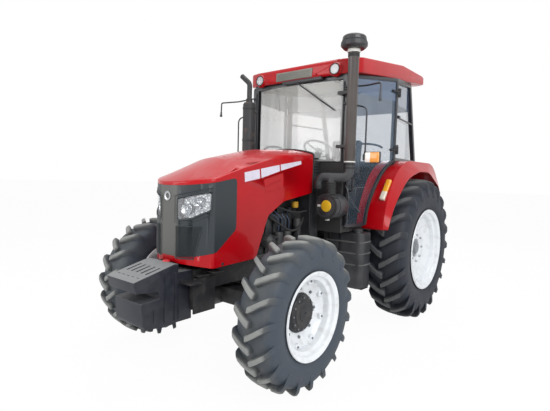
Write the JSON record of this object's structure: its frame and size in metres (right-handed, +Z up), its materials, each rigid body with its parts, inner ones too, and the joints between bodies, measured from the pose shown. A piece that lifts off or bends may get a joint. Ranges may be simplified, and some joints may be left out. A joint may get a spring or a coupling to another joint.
{
  "type": "four-wheel-drive farm tractor with a cab",
  "caption": "Farm tractor with a glazed cab, tilting hood, steered front axle, swinging doors, nose weights and a rear three-point hitch with drawbar and power take-off.",
  "frame": {"origin": "on the ground, at the middle of the tractor's length and width", "axes": "+X forward, +Y to the tractor's left, +Z up"},
  "size_m": [4.199, 2.054, 2.8898],
  "materials": {
    "red_paint": "gloss",
    "dark_paint": "satin",
    "black_plastic": "satin",
    "grey_plastic": "matte",
    "cast_iron": "satin",
    "white_paint": "gloss",
    "tyre": "matte",
    "glass": "gloss",
    "lamp_lens": "gloss",
    "amber_lens": "gloss",
    "steel": "satin",
    "seat_cloth": "matte"
  },
  "bodies": {
    "chassis": {"air_filter": "black_plastic", "battery_box": "dark_paint", "cab_floor": "dark_paint", "cab_frame": "dark_paint", "cowl": "dark_paint", "dash": "black_plastic", "drawbar": "dark_paint", "drive_shaft": "cast_iron", "engine": "cast_iron", "exhaust": "dark_paint", "fender_lamps": "amber_lens", "fender_left": "red_paint", "fender_right": "red_paint", "front_axle": "cast_iron", "front_frame": "cast_iron", "front_weights": "cast_iron", "fuel_tank": "black_plastic", "hitch_frame": "dark_paint", "intake_stack": "dark_paint", "mirror_arms": "dark_paint", "pto_shaft": "steel", "quarter_windows": "glass", "radiator": "cast_iron", "rear_axle": "cast_iron", "rear_window": "glass", "roof": "red_paint", "seat": "seat_cloth", "seat_base": "seat_cloth", "steering_column": "black_plastic", "transmission": "cast_iron", "turn_lamps": "amber_lens", "windscreen": "glass", "work_lamps": "lamp_lens"},
    "hood": {"hood": "red_paint", "grille": "grey_plastic", "headlights": "lamp_lens"},
    "door_left": {"door_left": "dark_paint", "door_glass_left": "glass"},
    "door_right": {"door_right": "dark_paint", "door_glass_right": "glass"},
    "knuckle_left": {"knuckle_left": "cast_iron"},
    "knuckle_right": {"knuckle_right": "cast_iron"},
    "front_wheel_left": {"front_rim_left": "white_paint", "front_tyre_left": "tyre"},
    "front_wheel_right": {"front_rim_right": "white_paint", "front_tyre_right": "tyre"},
    "rear_wheel_left": {"rear_rim_left": "white_paint", "rear_tyre_left": "tyre"},
    "rear_wheel_right": {"rear_rim_right": "white_paint", "rear_tyre_right": "tyre"},
    "steering_rod": {"steering_rod": "steel"},
    "steering_wheel": {"steering_wheel": "black_plastic"},
    "lift_arms": {"lift_arms": "dark_paint"},
    "lift_rods": {"lift_rods": "dark_paint"},
    "lower_links": {"lower_links": "dark_paint"}
  },
  "joints": [
    {"name": "steer_left", "type": "hinge", "parent": "chassis", "child": "knuckle_left", "pos_m": [1.16, 0.62, 0.58], "axis": [0, 0, 1], "range_deg": [-35, 35]},
    {"name": "steer_right", "type": "hinge", "parent": "chassis", "child": "knuckle_right", "pos_m": [1.16, -0.62, 0.58], "axis": [0, 0, 1], "range_deg": [-35, 35]},
    {"name": "steering_rod_slide", "type": "slide", "parent": "chassis", "child": "steering_rod", "axis": [0, 1, 0], "range_m": [-0.092, 0.092]},
    {"name": "steering_wheel_turn", "type": "hinge", "parent": "chassis", "child": "steering_wheel", "pos_m": [-0.36, 0, 1.9], "axis": [-0.5736, 0, 0.8192], "range_deg": [-631, 631]},
    {"name": "front_wheel_left_spin", "type": "hinge", "parent": "knuckle_left", "child": "front_wheel_left", "pos_m": [1.16, 0.869, 0.58], "axis": [0, 1, 0], "continuous": true},
    {"name": "front_wheel_right_spin", "type": "hinge", "parent": "knuckle_right", "child": "front_wheel_right", "pos_m": [1.16, -0.869, 0.58], "axis": [0, 1, 0], "continuous": true},
    {"name": "rear_wheel_left_spin", "type": "hinge", "parent": "chassis", "child": "rear_wheel_left", "pos_m": [-1.15, 0.801, 0.806], "axis": [0, 1, 0], "continuous": true},
    {"name": "rear_wheel_right_spin", "type": "hinge", "parent": "chassis", "child": "rear_wheel_right", "pos_m": [-1.15, -0.801, 0.806], "axis": [0, 1, 0], "continuous": true},
    {"name": "hood_tilt", "type": "hinge", "parent": "chassis", "child": "hood", "pos_m": [0.3, 0, 1.765], "axis": [0, -1, 0], "range_deg": [0, 50]},
    {"name": "door_left_swing", "type": "hinge", "parent": "chassis", "child": "door_left", "pos_m": [-0.73, 0.769, 2.2], "axis": [0, 0, 1], "range_deg": [0, 75]},
    {"name": "door_right_swing", "type": "hinge", "parent": "chassis", "child": "door_right", "pos_m": [-0.73, -0.769, 2.2], "axis": [0, 0, -1], "range_deg": [0, 75]},
    {"name": "lift_arms_raise", "type": "hinge", "parent": "chassis", "child": "lift_arms", "pos_m": [-1.485, 0, 0.9], "axis": [0, 1, 0], "range_deg": [-20, 40]},
    {"name": "lift_rods_turn", "type": "hinge", "parent": "lift_arms", "child": "lift_rods", "pos_m": [-1.765, 0, 0.9], "axis": [0, 1, 0], "range_deg": [-40, 20]},
    {"name": "lower_links_raise", "type": "hinge", "parent": "chassis", "child": "lower_links", "pos_m": [-1.19, 0, 0.5], "axis": [0, 1, 0], "range_deg": [-9.5, 19]}
  ],
  "couplings": [
    {"joint": "steer_right", "follows": "steer_left", "ratio": 1},
    {"joint": "steering_rod_slide", "follows": "steer_left", "m_per_rad": -0.15},
    {"joint": "steering_wheel_turn", "follows": "steer_left", "ratio": 18},
    {"joint": "lift_rods_turn", "follows": "lift_arms_raise", "ratio": -1},
    {"joint": "lower_links_raise", "follows": "lift_arms_raise", "ratio": 0.47}
  ]
}
